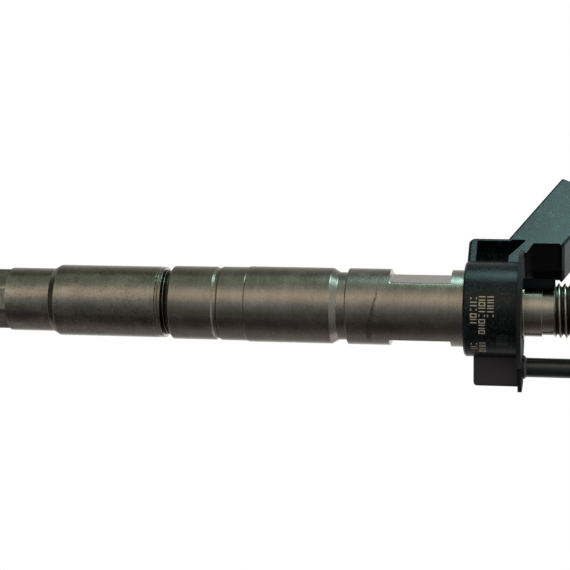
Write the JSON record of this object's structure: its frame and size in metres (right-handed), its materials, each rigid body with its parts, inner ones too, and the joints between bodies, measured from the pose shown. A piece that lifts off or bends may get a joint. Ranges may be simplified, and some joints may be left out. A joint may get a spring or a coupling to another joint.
{
  "type": "fuel injector",
  "caption": "Piezo common-rail diesel fuel injector: nozzle, retaining nut, clamped steel body, leaning plug connector, fuel inlet and return spigot.",
  "frame": {"origin": "on the injector's axis, in the lower face of the combustion seal, where it meets its seat in the cylinder head", "axes": "+Z along the injector from nozzle to fuel inlet; +X towards the side that the connector leans to"},
  "size_m": [0.0581, 0.0353, 0.1909],
  "materials": {
    "body_steel": "satin ground steel with a light phosphate tint",
    "nut_steel": "satin turned steel, phosphated",
    "nozzle_steel": "ground tool steel",
    "hard_steel": "lapped hardened steel",
    "spring_steel": "drawn spring wire",
    "seal_copper": "soft copper",
    "piezo_ceramic": "coated multilayer ceramic",
    "housing_plastic": "black glass-filled nylon, fine grain",
    "insulator_plastic": "natural polymer",
    "terminal_metal": "tin-plated bronze",
    "filter_steel": "stainless steel",
    "spigot_metal": "black zinc-nickel plating, glossy",
    "seal_rubber": "fluoro rubber"
  },
  "bodies": {
    "injector": {"seal_washer": "seal_copper", "nozzle_body": "nozzle_steel", "dowel_pins": "hard_steel", "needle_sleeve": "hard_steel", "needle_spring": "spring_steel", "throttle_plate": "hard_steel", "valve_plate": "hard_steel", "valve_spring": "spring_steel", "nozzle_nut": "nut_steel", "injector_body": "body_steel", "coupler_carrier": "hard_steel", "coupler_sleeve": "hard_steel", "coupler_spring": "spring_steel", "piezo_stack": "piezo_ceramic", "tube_spring": "spring_steel", "actuator_head": "hard_steel", "actuator_spacer": "hard_steel", "contact_pins": "terminal_metal", "pin_insulators": "insulator_plastic", "edge_filter": "filter_steel", "body_seal": "seal_rubber", "connector_housing": "housing_plastic", "terminal_a": "terminal_metal", "terminal_b": "terminal_metal", "return_spigot": "spigot_metal", "spigot_seal": "seal_rubber"},
    "needle": {"nozzle_needle": "hard_steel", "spring_shim": "hard_steel"},
    "actuator": {"actuator_foot": "hard_steel", "coupler_piston": "hard_steel"},
    "servo_valve": {"valve_piston": "hard_steel", "valve_pin": "hard_steel"}
  },
  "joints": [
    {"name": "needle_lift", "type": "slide", "parent": "injector", "child": "needle", "axis": [0, 0, 1], "range_m": [0, 0.00025], "stiffness_N_per_m": 30000, "springref_m": -0.001, "deforming": ["needle_spring"]},
    {"name": "actuator_stroke", "type": "slide", "parent": "injector", "child": "actuator", "axis": [0, 0, -1], "range_m": [0, 0.00004], "stiffness_N_per_m": 100000, "springref_m": -0.0002, "deforming": ["piezo_stack", "tube_spring", "coupler_spring"]},
    {"name": "valve_lift", "type": "slide", "parent": "injector", "child": "servo_valve", "axis": [0, 0, -1], "range_m": [0, 0.00006], "stiffness_N_per_m": 20000, "springref_m": -0.0003, "deforming": ["valve_spring"]}
  ],
  "couplings": [
    {"joint": "valve_lift", "follows": "actuator_stroke", "ratio": 1.5}
  ]
}
